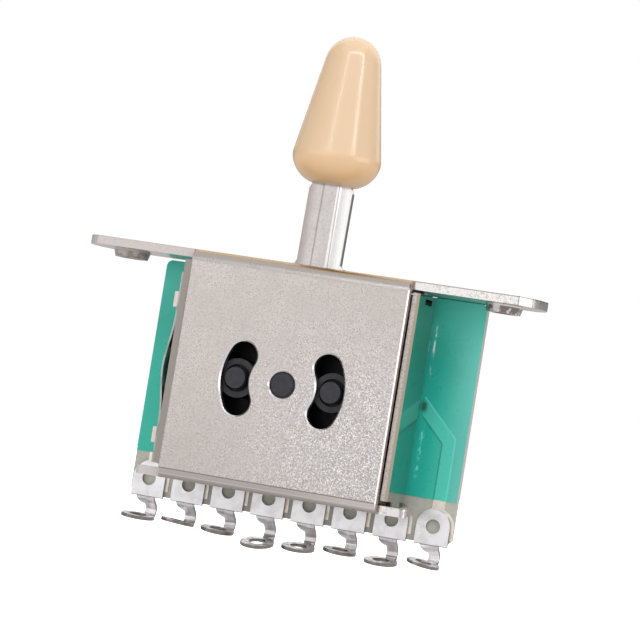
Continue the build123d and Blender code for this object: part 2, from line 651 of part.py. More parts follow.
def blade_outline(grow):
    # Front outline of the strip: shoulders below, a narrower tang on top
    shoulder = SHOULDER_WIDTH / 2 + grow
    half = BLADE_WIDTH / 2 + grow
    tang = TANG_WIDTH / 2 + grow
    right = [
        (shoulder, BLADE_FOOT - grow),
        (shoulder, SHOULDER_Z),
        (half, SHOULDER_Z),
        (half, NECK_Z),
        (tang, TANG_Z),
        (tang, BLADE_TOP),
    ]
    left = [(-x, z) for x, z in reversed(right)]
    outline = make_face(Polyline(*right, *left, close=True))
    return round_corners(outline, [(side * half, SHOULDER_Z, SHOULDER_FILLET) for side in SIDES])


def blade_solid(grow=0.0):
    # The upright blade; a pocket for it is the same form grown by a clearance
    length = BLADE_TOP - BLADE_FOOT + 2 * grow
    bar = Pos(0, 0, BLADE_FOOT - grow) * extrude(blade_section(grow), amount=length)
    depth = BLADE_SHEET + RIB_HEIGHT + BEYOND
    return bar & slab(blade_outline(grow), BLADE_Y - depth, BLADE_Y + depth)


def make_lever():
    rivet_hole = slab(Circle(RIVET_RADIUS), ROTOR_FRONT, ROTOR_BACK, RIVET_Z)
    return leaned(blade_solid() - rivet_hole)


def make_lever_rivet():
    front = ROTOR_FRONT - RIVET_HEAD_HEIGHT
    back = ROTOR_BACK + RIVET_HEAD_HEIGHT
    body = slab(Circle(RIVET_RADIUS), front, back, RIVET_Z)
    body += slab(Circle(RIVET_HEAD_RADIUS), front, ROTOR_FRONT, RIVET_Z)
    body += slab(Circle(RIVET_HEAD_RADIUS), ROTOR_BACK, back, RIVET_Z)
    return leaned(body)


def knob_profile():
    # Half section of the turned form: rounded foot, soft rim, cone and dome
    dome_z = KNOB_TOP - KNOB_DOME_RADIUS
    lean = math.atan2(KNOB_RIM_RADIUS - KNOB_DOME_RADIUS, dome_z - KNOB_RIM_Z)
    touch = (KNOB_DOME_RADIUS * math.cos(lean), dome_z + KNOB_DOME_RADIUS * math.sin(lean))
    middle = polar(KNOB_DOME_RADIUS, (90 + math.degrees(lean)) / 2)
    width = KNOB_RIM_RADIUS - KNOB_FOOT_RADIUS
    height = KNOB_RIM_Z - KNOB_BOTTOM
    foot_start = (KNOB_FOOT_RADIUS, KNOB_BOTTOM)
    foot_middle = (KNOB_FOOT_RADIUS + KNOB_CURVE[0] * width, KNOB_BOTTOM + KNOB_CURVE[1] * height)
    rim = (KNOB_RIM_RADIUS, KNOB_RIM_Z)
    edges = [
        Line((0, KNOB_BOTTOM), foot_start),
        ThreePointArc(foot_start, foot_middle, rim),
        Line(rim, touch),
        ThreePointArc(touch, (middle[0], dome_z + middle[1]), (0, KNOB_TOP)),
        Line((0, KNOB_TOP), (0, KNOB_BOTTOM)),
    ]
    return round_corners(make_face(edges), [(*rim, KNOB_RIM_FILLET)])


def make_knob():
    axis = Axis((0, LEVER_MIDDLE_Y, 0), (0, 0, 1))
    body = revolve(facing(LEVER_MIDDLE_Y) * knob_profile(), axis)
    return leaned(body - blade_solid())


def leaf_section():
    # The leaf seen from the front, as (X, Z) about the pivot's height: flat ends, bowed middle
    inner = -WALL_OUTER - SPRING_GAP
    outer = inner - SPRING_SHEET
    end = SPRING_HALF_LENGTH
    bow = SPRING_BOW_HALF
    upright = [(0, -1), (0, -1)]
    edges = [
        Line((inner, end), (inner, bow)),
        Spline((inner, bow), (inner - SPRING_BOW, 0), (inner, -bow), tangents=upright),
        Line((inner, -bow), (inner, -end)),
        Line((inner, -end), (outer, -end)),
        Line((outer, -end), (outer, -bow)),
        Spline((outer, -bow), (outer - SPRING_BOW, 0), (outer, bow), tangents=[(0, 1), (0, 1)]),
        Line((outer, bow), (outer, end)),
        Line((outer, end), (inner, end)),
    ]
    return make_face(edges)


def tongue_section():
    # The lanced tongue, pressed through the wall into a V with a round nose
    root = -WALL_OUTER - SPRING_GAP - SPRING_BOW - SPRING_SHEET / 2
    sheet_tip = NOSE_TIP_X - SPRING_SHEET / 2
    slope = (sheet_tip - root) / NOSE_BASE
    sharp_tip = sheet_tip + (NOSE_RADIUS - SPRING_SHEET / 2) * (math.hypot(1, slope) - 1)
    points = [
        (root, NOSE_BASE + NOSE_RADIUS),
        (root, NOSE_BASE),
        (sharp_tip, 0),
        (root, -NOSE_BASE),
        (root, -NOSE_BASE - NOSE_RADIUS),
    ]
    return trace(FilletPolyline(*points, radius=NOSE_RADIUS - SPRING_SHEET / 2), line_width=SPRING_SHEET)


def make_detent_spring():
    body = slab(leaf_section(), SPRING_FRONT, SPRING_BACK, -PIVOT_DROP)
    reach = (-WALL_OUTER - SPRING_BOW - BEYOND, -WALL_OUTER + BEYOND)
    y0 = HOOK_FRONT - SPRING_HOLE_CLEARANCE
    y1 = HOOK_FRONT + HOOK_THICKNESS + SPRING_HOLE_CLEARANCE
    tall = HOOK_HEIGHT / 2 + SPRING_HOLE_CLEARANCE
    for side in SIDES:
        z = -PIVOT_DROP + side * HOOK_OFFSET
        body -= span_box(*reach, y0, y1, z - tall, z + tall)
    half = NOSE_WIDTH / 2 + NOSE_SIDE_GAP
    slot_z = (-PIVOT_DROP - NOSE_BASE, -PIVOT_DROP + NOSE_BASE)
    body -= span_box(*reach, NOSE_Y - half, NOSE_Y + half, *slot_z)
    tongue_y = (NOSE_Y - NOSE_WIDTH / 2, NOSE_Y + NOSE_WIDTH / 2)
    return body + slab(tongue_section(), *tongue_y, -PIVOT_DROP)


def make_wiper(side):
    # A base staked to the rotor, and two fingers that rise to the board's tracks
    y = ROTOR_BACK + WIPER_SHEET / 2
    tip_y = COPPER_FRONT - WIPER_TIP_GAP - WIPER_SHEET / 2
    base_foot = -WIPER_BASE_DROP - WIPER_BASE_HEIGHT / 2
    base_top = -WIPER_BASE_DROP + WIPER_BASE_HEIGHT / 2
    points = [
        (y, base_foot),
        (y, base_top + WIPER_BEND_RADIUS),
        (tip_y, 0),
        (y + WIPER_TIP_REACH, WIPER_TIP_REACH),
    ]
    profile = trace(FilletPolyline(*points, radius=WIPER_BEND_RADIUS), line_width=WIPER_SHEET)
    body = None
    for shift in (-WIPER_FINGER_OFFSET, WIPER_FINGER_OFFSET):
        x = side * WIPER_X + shift
        finger = extrude(side_plane(x) * profile, amount=WIPER_FINGER_WIDTH / 2, both=True)
        body = finger if body is None else body + finger
    width = 2 * WIPER_FINGER_OFFSET + WIPER_FINGER_WIDTH
    base = Pos(side * WIPER_X, -WIPER_BASE_DROP) * Rectangle(width, WIPER_BASE_HEIGHT)
    body += slab(base, ROTOR_BACK, ROTOR_BACK + WIPER_SHEET)
    for place in stake_places():
        body -= slab(Pos(*place) * Circle(STAKE_RADIUS), ROTOR_BACK - BEYOND, ROTOR_BACK + BEYOND)
    return Pos(0, 0, -PIVOT_DROP) * body


def main():
    nodes = {
        "frame": make_frame(),
        "inner_bracket": make_inner_bracket(),
        "board": make_board(),
        "solder_mask": make_solder_mask(),
        "board_tracks": make_board_tracks(),
        "rotor": make_rotor(),
        "lever": make_lever(),
        "lever_rivet": make_lever_rivet(),
        "knob": make_knob(),
        "detent_spring": make_detent_spring(),
        "wiper_left": make_wiper(-1),
        "wiper_right": make_wiper(1),
    }
    for index in range(LUG_COUNT):
        nodes[f"lug_{index + 1}"] = make_lug(index)
    os.makedirs("parts", exist_ok=True)
    for name, shape in nodes.items():
        export_step(shape, f"parts/{name}.step")


main()
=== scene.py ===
import bpy
import bmesh
import json
import math
from mathutils import Matrix, Vector


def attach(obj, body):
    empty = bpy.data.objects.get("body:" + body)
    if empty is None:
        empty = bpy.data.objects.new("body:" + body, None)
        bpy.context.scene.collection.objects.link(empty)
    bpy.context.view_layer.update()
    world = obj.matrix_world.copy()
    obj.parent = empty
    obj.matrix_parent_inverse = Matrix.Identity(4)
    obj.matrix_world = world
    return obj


# Looks of the pickup selector switch: finishes, screw threads, a strip of painted shade under the frame,
# light and camera.
# Lengths are in metres in the part's frame: X along the ears, face towards -Y, Z up.

MM = 0.001

# Sockets of a mix node: its two values and its two colours
MIX_VALUE_A = 2
MIX_VALUE_B = 3
MIX_COLOUR_A = 6
MIX_COLOUR_B = 7

# Camera, recovered from the photograph
CAMERA_PLACE = (0.083843, -0.283350, -0.014972)
CAMERA_YAW = -16.244
CAMERA_PITCH = -1.882
CAMERA_ROLL = 9.188
CAMERA_NEAR = 0.01
CAMERA_FAR = 20.0
LENS = 157.85
SENSOR = 36.0

# Frame: the face, its two bends, the ears and the collars
SHEET = 0.9 * MM
HOLE_SPACING = 41.3 * MM
FACE_WIDTH = 23.8 * MM
FACE_OUT = 5.8 * MM
FACE_CHAMFER = 0.14 * MM
FRAME_HEIGHT = 24.2 * MM
TOP_BEND_DROP = 1.25 * MM
TOP_BEND_DEPTH = 1.5 * MM
CREST_BAND = 0.32 * MM
ROLL_RADIUS = 1.0 * MM
EAR_RIM = 0.1 * MM
COLLAR_REACH = 1.5 * MM
FACE_HALF_WIDTH = FACE_WIDTH / 2
FACE_FRONT_Y = -FACE_OUT
FACE_BACK_Y = FACE_FRONT_Y + SHEET
TOP_BEND_Z = -TOP_BEND_DROP
TOP_BEND_BACK_Y = FACE_FRONT_Y + TOP_BEND_DEPTH
ROLL_FOOT_Z = -FRAME_HEIGHT
ROLL_Z = ROLL_FOOT_Z + ROLL_RADIUS
EAR_START_X = FACE_HALF_WIDTH + 0.2 * MM
COLLAR_TOP_Z = -SHEET - 0.15 * MM
HOLE_X = HOLE_SPACING / 2

# Grain of the plated sheet, coarser towards the right and the foot
GRAIN = 0.16 * MM
FLECK = 0.14 * MM
COARSE_SPREAD_X = 20 * MM
COARSE_Z = -9 * MM
COARSE_SPREAD_Z = 15 * MM

# Inner bracket
WALL_SPAN = 25.72 * MM
WALL_SHEET = 0.78 * MM
WALL_CUT_DEPTH = 0.1 * MM
WALL_CUT_Y = FACE_BACK_Y + WALL_CUT_DEPTH
WALL_OUTER_X = WALL_SPAN / 2
WALL_MIDDLE_X = WALL_OUTER_X - WALL_SHEET / 2

# Board: the mask, the ranges over which painted light and shade change its green, the track, and the flux
# whose glints are painted
BOARD_FRONT_Y = 4.2 * MM
BOARD_THICKNESS = 1.0 * MM
BOARD_TOP_GAP = 0.05 * MM
BOARD_TAIL = 2.4 * MM
MASK_THICKNESS = 0.05 * MM
MASK_FRONT_Y = BOARD_FRONT_Y - MASK_THICKNESS
FRONT_LAYER_LIMIT_Y = MASK_FRONT_Y + 0.3 * MM
BOARD_END_X = (14 * MM, 20 * MM)
BOARD_CORNER_X = (13.2 * MM, 16.5 * MM)
BOARD_TOP_Z = (-8 * MM, -2 * MM)
TRACK_WIDTH = 1.35 * MM
TRACK_X = 16.13 * MM
TRACK_LEFT_X = TRACK_X - TRACK_WIDTH / 2
TRACK_RIGHT_X = TRACK_X + TRACK_WIDTH / 2
TRACK_LEFT_TURN_Z = -16.1 * MM
TRACK_RIGHT_TURN_Z = TRACK_LEFT_TURN_Z + TRACK_WIDTH / 2
TRACK_START_TOP_Z = -12.0 * MM
TRACK_START_FOOT_Z = -13.0 * MM
FLUX_GLINT_TOP_Z = -4 * MM
FLUX_GLINT_GAP_TOP_Z = -9.5 * MM
FLUX_GLINT_GAP_FOOT_Z = -14.5 * MM
FLUX_GLINT_FOOT_Z = -20 * MM
FLUX_GLINT_FADE = 0.6 * MM

# Lugs
LUG_FOOT_DROP = 0.2 * MM
LUG_EYE_DROP = 1.8 * MM
LUG_FOOT_Z = -FRAME_HEIGHT - BOARD_TAIL - LUG_FOOT_DROP
LUG_EYE_TOP_Z = LUG_FOOT_Z - LUG_EYE_DROP

# Rotor, lever and knob
BOSS_GAP = 0.2 * MM
RECESS_DEPTH = 0.5 * MM
BOSS_FRONT_Y = FACE_BACK_Y + BOSS_GAP
BLADE_HALF_WIDTH = 2.39 * MM
BLADE_BACK_Y = 0.65 * MM
RIB_LEFT_X = -0.91 * MM
RIB_RIGHT_X = 1.2 * MM
FLANK_LEFT_X = -1.45 * MM
KNOB_RIM_Z = 11.5 * MM

# Thread of the two screw holes
THREAD_MINOR = 1.25 * MM
THREAD_DEPTH = 0.2 * MM
THREAD_PITCH = 0.5 * MM
THREAD_TOP = 0.0
THREAD_FOOT = -1.75 * MM
THREAD_STEPS = 32
THREAD_ROOT_SHARE = 0.42
THREAD_CREST_SHARE = 0.3
THREAD_FADE_TURNS = 0.5
THREAD_SINK = 0.01 * MM

# A strip of painted shade on the board's upper edge
BEAD_START = 12.3 * MM
BEAD_END = 17.95 * MM
BEAD_Y = BOARD_FRONT_Y + BOARD_THICKNESS / 2
BEAD_Z = -SHEET - BOARD_TOP_GAP / 2
BEAD_HALF = 0.022 * MM
BEAD_STEPS = 60
BEAD_END_SHARE = 0.4
BEAD_TAPER = 6
BEAD_RIPPLE = 0.08
BEAD_RIPPLE_RATES = (37, 11)
# Corners of its section: millimetres across the board, and shares of the half height
BEAD_UPPER = ((-0.45, 0), (-0.38, 0.8), (-0.2, 1), (0.2, 1), (0.38, 0.8), (0.45, 0))
BEAD_LOWER = ((0.38, -0.8), (0.2, -1), (-0.2, -1), (-0.38, -0.8))

# Levels of the surroundings: 1 is white
AMBIENT_LEVEL = 1.1
REFLECTED_LEVEL = 0.18
FLOOR_LEVEL = 0.6
FLOOR_GLOW = 0.6
FLOOR_SHADE = 0.9
FLOOR_Z = -56 * MM
FLOOR_HALF = 1.5

# A large softbox at the front right with brighter rims, and calmer cards round the object:
# azimuth and elevation in degrees, distance, width and height in metres, level
LAMPS = {
    "key_panel": (26, 32, 1.0, 1.05, 0.85, 0.66),
    "key_left_rim": (-9, 32, 0.98, 0.06, 0.55, 4.5),
    "key_right_rim": (58, 32, 0.98, 0.1, 0.55, 5.5),
    "key_top_rim": (24, 48, 0.98, 0.85, 0.08, 5.0),
    "right_card": (86, 0, 1.0, 0.8, 0.6, 1.5),
    "crest_card": (-18, 37, 1.05, 0.45, 0.5, 0.7),
    "front_card": (-4, -8, 1.05, 0.25, 0.6, 1.4),
    "low_card": (22, -27, 1.05, 1.0, 0.35, 0.8),
    "left_card": (-38, -4, 1.1, 1.0, 1.0, 1.0),
    "top_card": (0, 88, 1.2, 1.5, 1.5, 0.6),
    "back_card": (185, 38, 1.3, 2.4, 1.3, 0.8),
}


def srgb(red, green, blue):
    # A colour as a screen shows it, 0 to 255, turned into the linear value that shaders take
    def linear(value):
        value /= 255
        return value / 12.92 if value <= 0.04045 else ((value + 0.055) / 1.055) ** 2.4

    return (linear(red), linear(green), linear(blue))


class Finish:
    # A procedural material on one Principled shader, laid out in the piece's own space.
    # A mask is a value that is 1 where something applies and 0 elsewhere.

    def __init__(self, name, colour, roughness, metallic=0.0):
        self.material = bpy.data.materials.new(name)
        self.material.use_nodes = True
        self.tree = self.material.node_tree
        self.shader = self.tree.nodes["Principled BSDF"]
        self.set("Base Color", (*colour, 1))
        self.set("Roughness", roughness)
        self.set("Metallic", metallic)
        self.place = self.node("ShaderNodeTexCoord").outputs["Object"]
        axes = self.node("ShaderNodeSeparateXYZ")
        self.link(self.place, axes.inputs[0])
        self.axes = {"X": axes.outputs[0], "Y": axes.outputs[1], "Z": axes.outputs[2]}

    def node(self, kind):
        return self.tree.nodes.new(kind)

    def link(self, source, target):
        self.tree.links.new(source, target)

    def set(self, name, value):
        self.shader.inputs[name].default_value = value

    def compute(self, operation, *values):
        result = self.node("ShaderNodeMath")
        result.operation = operation
        for value, target in zip(values, result.inputs):
            self.link(value, target)
        return result.outputs[0]

    def plus(self, first, second):
        return self.compute("ADD", first, second)

    def size(self, value):
        return self.compute("ABSOLUTE", value)

    def times(self, first, *others):
        # 1 only where all the masks are
        for other in others:
            first = self.compute("MULTIPLY", first, other)
        return first

    def remap(self, value, low, high, to_low=0.0, to_high=1.0):
        ranged = self.node("ShaderNodeMapRange")
        ranged.interpolation_type = "SMOOTHSTEP"
        self.link(value, ranged.inputs["Value"])
        ranged.inputs["From Min"].default_value = low
        ranged.inputs["From Max"].default_value = high
        ranged.inputs["To Min"].default_value = to_low
        ranged.inputs["To Max"].default_value = to_high
        return ranged.outputs["Result"]

    def noise(self, size, detail=2.0, stretch=(1, 1, 1)):
        # Soft random values whose spots are about size metres across
        mapping = self.node("ShaderNodeMapping")
        mapping.inputs["Scale"].default_value = [1 / size / s for s in stretch]
        self.link(self.place, mapping.inputs["Vector"])
        texture = self.node("ShaderNodeTexNoise")
        texture.inputs["Scale"].default_value = 1.0
        texture.inputs["Detail"].default_value = detail
        self.link(mapping.outputs[0], texture.inputs["Vector"])
        return texture.outputs["Fac"]

    def patches(self, size, low, high, detail=3.0, stretch=(1, 1, 1), most=1.0):
        # Random patches, sharper the closer low and high are
        return self.remap(self.noise(size, detail, stretch), low, high, 0.0, most)

    def beyond(self, axis, limit, soft):
        # 1 where the place along the axis is past the limit
        return self.remap(self.axes[axis], limit - soft / 2, limit + soft / 2)

    def before(self, axis, limit, soft):
        return self.remap(self.axes[axis], limit - soft / 2, limit + soft / 2, 1.0, 0.0)

    def stripe(self, value, middle, half, soft):
        # 1 where the value is within half of the middle
        low, high = middle - half, middle + half
        rise = self.remap(value, low - soft / 2, low + soft / 2)
        return self.times(rise, self.remap(value, high - soft / 2, high + soft / 2, 1.0, 0.0))

    def between(self, axis, low, high, soft):
        return self.stripe(self.axes[axis], (low + high) / 2, (high - low) / 2, soft)

    def outside(self, axis, limit, soft):
        # 1 further than the limit from the middle, on both sides
        return self.remap(self.size(self.axes[axis]), limit - soft / 2, limit + soft / 2)

    def facing(self, axis):
        # How squarely a face looks along the axis, either way: 0 to 1
        normal = self.node("ShaderNodeSeparateXYZ")
        self.link(self.node("ShaderNodeTexCoord").outputs["Normal"], normal.inputs[0])
        return self.size(normal.outputs["XYZ".index(axis)])

    def slanted(self, axis):
        # 1 on faces that lean about 45 degrees to the axis, such as chamfers
        return self.stripe(self.facing(axis), 0.68, 0.18, 0.08)

    def upright(self):
        # 1 on faces that look sideways
        return self.remap(self.facing("Z"), 0.3, 0.5, 1.0, 0.0)

    def tint(self, mask, colour):
        # Turn the base colour towards another one where the mask is 1
        mix = self.node("ShaderNodeMix")
        mix.data_type = "RGBA"
        base = self.shader.inputs["Base Color"]
        self.link(mask, mix.inputs["Factor"])
        if base.is_linked:
            self.link(base.links[0].from_socket, mix.inputs[MIX_COLOUR_A])
        else:
            mix.inputs[MIX_COLOUR_A].default_value = base.default_value
        mix.inputs[MIX_COLOUR_B].default_value = (*colour, 1)
        self.link(mix.outputs[2], base)

    def roughen(self, mask, low, high):
        self.link(self.remap(mask, 0.3, 0.7, low, high), self.shader.inputs["Roughness"])

    def dull(self, mask, metallic):
        # Less metallic where the mask is 1, as torn edges are
        self.link(self.remap(mask, 0, 1, 1.0, metallic), self.shader.inputs["Metallic"])

    def bump(self, height, depth):
        # Raise the surface by depth metres where height is 1
        bump = self.node("ShaderNodeBump")
        bump.inputs["Distance"].default_value = depth
        self.link(height, bump.inputs["Height"])
        normal = self.shader.inputs["Normal"]
        if normal.is_linked:
            self.link(normal.links[0].from_socket, bump.inputs["Normal"])
        self.link(bump.outputs[0], normal)


def plated_finish():
    # Bright plated sheet: rolled grain, smoother bends and torn cut edges
    finish = Finish("plated_steel", srgb(214, 205, 201), 0.28, 1.0)
    grain_plate(finish)
    shade_bends(finish)
    # Painted highlight: the chamfer along the face's front edge is tinted white
    chamfer = finish.before("Y", FACE_FRONT_Y + FACE_CHAMFER + 0.02 * MM, 0.02 * MM)
    finish.tint(finish.times(chamfer, finish.slanted("Y")), (1, 1, 1))
    shade_cut_edges(finish)
    return finish


def grain_plate(finish):
    finish.tint(finish.patches(6 * MM, 0.35, 0.75, most=0.5), srgb(208, 199, 195))
    grain = finish.noise(GRAIN, 6.0)
    finish.tint(finish.remap(grain, 0.35, 0.55, 0.7, 0.0), srgb(188, 179, 174))
    foot = finish.before("Z", COARSE_Z, COARSE_SPREAD_Z)
    coarse = finish.times(finish.beyond("X", 0, COARSE_SPREAD_X), foot)
    flecks = finish.patches(FLECK, 0.48, 0.62, 4.0)
    finish.tint(finish.times(flecks, coarse), srgb(254, 253, 254))
    worn = finish.remap(grain, 0.4, 0.5, 0.5, 0.0)
    finish.tint(finish.times(worn, coarse), srgb(166, 160, 162))
    finish.roughen(finish.noise(2.5 * MM, 3.0), 0.25, 0.3)
    flat = finish.between("Z", ROLL_Z + 0.6 * MM, TOP_BEND_Z - 1.3 * MM, 1.2 * MM)
    finish.bump(finish.times(flat, grain), 0.004 * MM)


def shade_bends(finish):
    # Painted light and shade on the bends: the top bend is painted darker with a golden painted reflection
    # on its crest, and the roll at the foot is painted brighter towards the right, darker at its foot, and
    # starts with a fine dark line of painted shade
    front = finish.before("Y", TOP_BEND_BACK_Y, 0.1 * MM)
    # Painted shade: the top bend is tinted darker
    finish.tint(finish.times(finish.beyond("Z", TOP_BEND_Z, 0.3 * MM), front), srgb(196, 188, 184))
    crest = finish.between("Z", -CREST_BAND, 0.1 * MM, 0.14 * MM)
    face = finish.between("X", -FACE_HALF_WIDTH, FACE_HALF_WIDTH, 0.02 * MM)
    # Painted reflection: a golden band along the crest of the top bend
    finish.tint(finish.times(crest, face, front), srgb(196, 168, 128))
    roll = finish.before("Z", ROLL_Z, 0.05 * MM)
    finish.tint(roll, srgb(212, 202, 198))
    # Painted light: the roll is tinted brighter towards the right
    finish.tint(finish.times(roll, finish.beyond("X", 6 * MM, 12 * MM)), srgb(236, 226, 222))
    # Painted shade: darker at the foot of the roll
    finish.tint(finish.before("Z", ROLL_FOOT_Z + 0.3 * MM, 0.6 * MM), srgb(170, 159, 155))
    # Painted shade: a fine dark line where the roll starts
    line = finish.between("Z", ROLL_Z - 0.03 * MM, ROLL_Z + 0.09 * MM, 0.05 * MM)
    finish.tint(line, srgb(150, 137, 133))


def shade_cut_edges(finish):
    # Rust brown at the sides of the face, brighter round the ears with a painted highlight on the right
    # ear's cut edges, and blotched on the collars
    upright = finish.upright()
    side = finish.times(upright, finish.outside("X", FACE_HALF_WIDTH - 0.01 * MM, 0.01 * MM))
    finish.tint(side, srgb(128, 102, 96))
    finish.tint(finish.times(side, finish.patches(GRAIN, 0.4, 0.62, 4.0)), srgb(178, 156, 148))
    finish.dull(finish.times(side, finish.before("X", EAR_START_X, 0.01 * MM)), 0.2)
    ears = finish.times(upright, finish.outside("X", EAR_START_X, 0.02 * MM))
    finish.tint(ears, srgb(180, 172, 169))
    # Painted highlight: the right ear's cut edges are tinted almost white
    finish.tint(finish.times(ears, finish.beyond("X", 0, MM)), srgb(246, 242, 239))
    spots = finish.patches(0.3 * MM, 0.5, 0.7, 5.0, most=0.4)
    finish.tint(finish.times(ears, spots), srgb(168, 156, 150))
    finish.tint(finish.times(ears, finish.beyond("Z", -EAR_RIM, 0.08 * MM)), srgb(172, 164, 160))
    collars = finish.between("Z", COLLAR_TOP_Z - COLLAR_REACH, COLLAR_TOP_Z, 0.02 * MM)
    blotches = finish.patches(0.7 * MM, 0.42, 0.55, 4.0)
    finish.tint(finish.times(ears, collars, blotches), srgb(150, 138, 132))
    torn = finish.noise(0.25 * MM, 4.0, (1.0, 1.0, 2.5))
    finish.bump(finish.times(ears, torn), 0.02 * MM)


def bracket_finish():
    # The same sheet with a smoother skin, speckled and duller where it was cut; its right-hand sides carry
    # a painted reflection of the green board and its left cut edges painted shade
    finish = Finish("bracket_steel", srgb(214, 208, 202), 0.1, 1.0)
    finish.tint(finish.patches(3 * MM, 0.45, 0.7, 4.0), srgb(192, 186, 180))
    cut = finish.before("Y", WALL_CUT_Y, 0.04 * MM)
    finish.tint(cut, srgb(222, 215, 210))
    finish.tint(finish.times(cut, finish.patches(0.15 * MM, 0.5, 0.6, 4.0)), srgb(196, 186, 178))
    outer = finish.beyond("X", WALL_MIDDLE_X + 0.05 * MM, 0.25 * MM)
    finish.tint(finish.times(cut, outer), srgb(186, 177, 156))
    sides = finish.beyond("Y", WALL_CUT_Y + 0.1 * MM, 0.04 * MM)
    finish.tint(sides, srgb(194, 191, 186))
    # Painted reflection: the right-hand sides are tinted greenish, as the green board mirrored in them
    finish.tint(finish.times(sides, finish.beyond("X", 0, MM)), srgb(172, 184, 177))
    finish.tint(finish.before("X", -WALL_OUTER_X, 0.04 * MM), srgb(208, 195, 186))
    # Painted shade: the cut edges on the left are darker
    finish.tint(finish.times(cut, finish.before("X", 0, MM)), srgb(170, 162, 155))
    finish.roughen(cut, 0.1, 0.45)
    finish.bump(finish.noise(0.2 * MM, 3.0), 0.0015 * MM)
    return finish


def laminate_finish():
    # Bare glass epoxy: greyish with the weave showing faintly
    finish = Finish("board_laminate", srgb(166, 165, 155), 0.5)
    finish.tint(finish.patches(0.45 * MM, 0.4, 0.65, 2.0, (1, 1, 0.4), 0.6), srgb(148, 150, 140))
    finish.bump(finish.noise(0.12 * MM, 2.0), 0.006 * MM)
    return finish


def mask_finish():
    # Green lacquer
    finish = Finish("green_mask", srgb(30, 166, 146), 0.3)
    finish.tint(finish.patches(2.2 * MM, 0.4, 0.75, most=0.3), srgb(28, 160, 141))
    front = finish.before("Y", FRONT_LAYER_LIMIT_Y, 0.1 * MM)
    shade_board(finish, front)
    finish.tint(finish.before("Y", MASK_FRONT_Y - 0.01 * MM, 0.01 * MM), srgb(58, 178, 159))
    edge_track(finish, front)
    mark_wall_foot(finish, front)
    finish.bump(finish.noise(0.9 * MM, 6.0), 0.003 * MM)
    finish.roughen(finish.noise(1.1 * MM, 3.0), 0.26, 0.4)
    return finish


def shade_board(finish, front):
    # Painted light and shade on the lacquer: paler towards the right end and the top, painted in to undo
    # the shade under the ear, and a painted shade deeper in the corner at the right wall
    end = finish.remap(finish.axes["X"], *BOARD_END_X, 0.0, 0.9)
    # Painted light: paler towards the right end, and paler still higher up at that end
    finish.tint(end, srgb(96, 172, 164))
    finish.tint(finish.times(end, finish.beyond("Z", -10 * MM, 14 * MM)), srgb(96, 208, 194))
    top = finish.remap(finish.axes["Z"], *BOARD_TOP_Z, 0.0, 0.7)
    # Painted light: paler at the top, under the ear
    finish.tint(finish.times(front, top), srgb(72, 204, 184))
    # Painted shade: a deeper green in the corner at the right wall
    corner = finish.remap(finish.axes["X"], *BOARD_CORNER_X, 0.8, 0.0)
    right = finish.times(front, finish.beyond("X", 0, MM))
    finish.tint(finish.times(right, corner, finish.before("Z", -6 * MM, 8 * MM)), srgb(4, 160, 144))


def edge_track(finish, front):
    # The two edges of the ridge over the slanting track, with painted light at the right edge and painted
    # shade at the left
    slant = finish.plus(finish.axes["X"], finish.axes["Z"])
    for x, z, colour in (
        (TRACK_RIGHT_X, TRACK_RIGHT_TURN_Z, srgb(88, 190, 175)),
        (TRACK_LEFT_X, TRACK_LEFT_TURN_Z, srgb(20, 134, 116)),
    ):
        straight = finish.stripe(finish.axes["X"], x, 0.07 * MM, 0.12 * MM)
        finish.tint(finish.times(front, straight, finish.before("Z", z, 0.05 * MM)), colour)
        sloping = finish.stripe(slant, x + z, 0.1 * MM, 0.16 * MM)
        finish.tint(finish.times(front, sloping, finish.between("X", WALL_OUTER_X, x, 0.05 * MM)), colour)


def mark_wall_foot(finish, front):
    # A dark green patch where the track starts, and dried flux above and below it with its glints painted
    # in
    start = finish.between("X", WALL_OUTER_X - 0.3 * MM, WALL_OUTER_X + 0.35 * MM, 0.5 * MM)
    depth = finish.between("Z", TRACK_START_FOOT_Z, TRACK_START_TOP_Z, 0.6 * MM)
    finish.tint(finish.times(front, start, depth), srgb(8, 92, 78))
    # Dried flux along the wall's foot, its glints painted in as near-white colour above the track and pale
    # cyan below
    seam = finish.between("X", WALL_OUTER_X, WALL_OUTER_X + 0.18 * MM, 0.1 * MM)
    crust = finish.patches(0.4 * MM, 0.46, 0.54, 4.0, (1, 1, 3))
    upper = finish.between("Z", FLUX_GLINT_GAP_TOP_Z, FLUX_GLINT_TOP_Z, FLUX_GLINT_FADE)
    finish.tint(finish.times(front, seam, crust, upper), srgb(214, 236, 228))
    smear = finish.between("X", WALL_OUTER_X + 0.1 * MM, WALL_OUTER_X + 0.5 * MM, 0.3 * MM)
    blots = finish.patches(0.35 * MM, 0.46, 0.62, 5.0, (1, 1, 2), 0.8)
    lower = finish.between("Z", FLUX_GLINT_FOOT_Z, FLUX_GLINT_GAP_FOOT_Z, FLUX_GLINT_FADE)
    finish.tint(finish.times(front, smear, blots, lower), srgb(104, 214, 202))


def tinned_finish():
    # Copper pads and tracks under tin
    finish = Finish("tinned_copper", srgb(246, 238, 228), 0.34, 0.85)
    finish.tint(finish.patches(0.8 * MM, 0.45, 0.7), srgb(232, 220, 205))
    finish.bump(finish.noise(0.4 * MM, 3.0), 0.012 * MM)
    return finish


